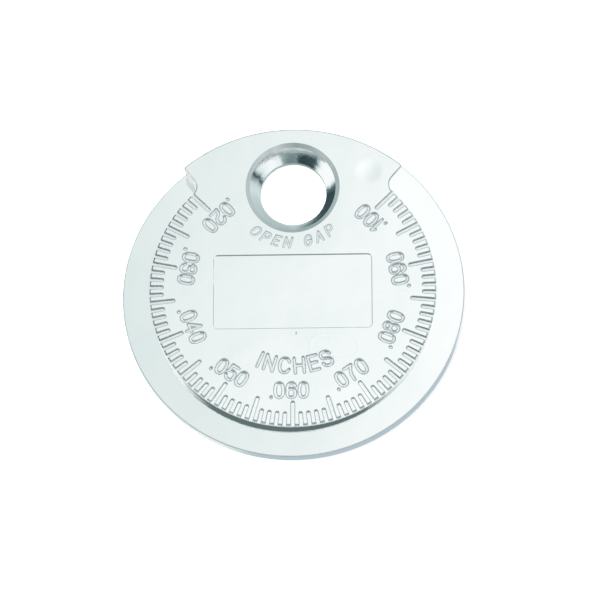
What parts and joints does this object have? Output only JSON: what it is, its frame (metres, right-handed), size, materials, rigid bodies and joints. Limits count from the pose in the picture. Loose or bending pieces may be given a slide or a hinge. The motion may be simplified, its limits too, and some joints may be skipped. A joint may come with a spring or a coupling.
{
  "type": "spark plug gap gauge",
  "caption": "Coin-shaped plated gap gauge: a graduated ramp rises round the rim of a numbered dial, with a countersunk hole in the thick lobe whose thin lip bends a plug's side electrode.",
  "frame": {"origin": "on the dial's axis, at the flat back face", "axes": "+Z through the thickness towards the dial, +Y from the dial's axis to the hole"},
  "size_m": [0.041, 0.041, 0.0031],
  "materials": {
    "bright_plate": "bright nickel-chrome plate over a zinc die casting, mirror-like with a faint waviness"
  },
  "bodies": {
    "root": {"gauge_disc": "bright_plate"}
  },
  "joints": []
}
